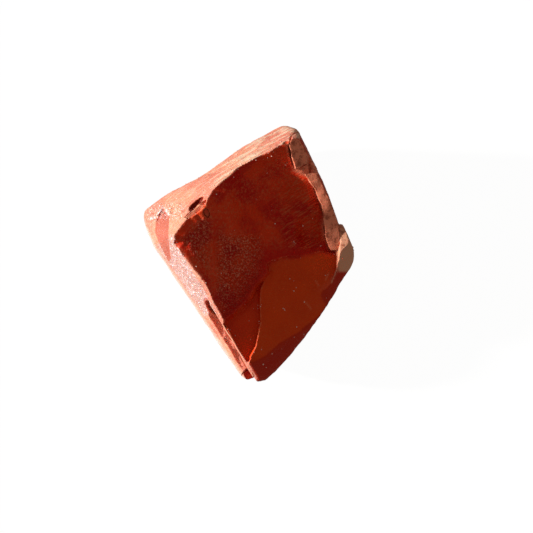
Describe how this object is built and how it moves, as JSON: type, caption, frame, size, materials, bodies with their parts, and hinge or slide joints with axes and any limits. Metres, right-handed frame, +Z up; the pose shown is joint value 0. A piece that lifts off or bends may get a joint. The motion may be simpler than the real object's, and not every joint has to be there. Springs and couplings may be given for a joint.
{
  "type": "clay bar",
  "caption": "Broken lump of brick-red detailing clay with a scooped glossy break, dusty outer skin and split-off flakes.",
  "frame": {"origin": "centre of the bounding box of the outline, on the flat underside", "axes": "+Z up from the underside towards the broken face, +Y towards the far corner, +X towards the right corner"},
  "size_m": [0.0633, 0.0776, 0.0392],
  "materials": {
    "scuffed_skin": "dusty, scuffed outer skin of waxy clay",
    "fresh_break": "waxy, half-gloss fresh break",
    "thin_edge": "thin edge that light shines through"
  },
  "bodies": {
    "root": {"clay_core": "fresh_break", "side_slab": "scuffed_skin", "tip_block": "fresh_break", "groove_fin": "thin_edge", "corner_chip": "scuffed_skin", "rim_flake": "scuffed_skin", "notch_shard": "scuffed_skin", "wall_tongue": "thin_edge"}
  },
  "joints": []
}
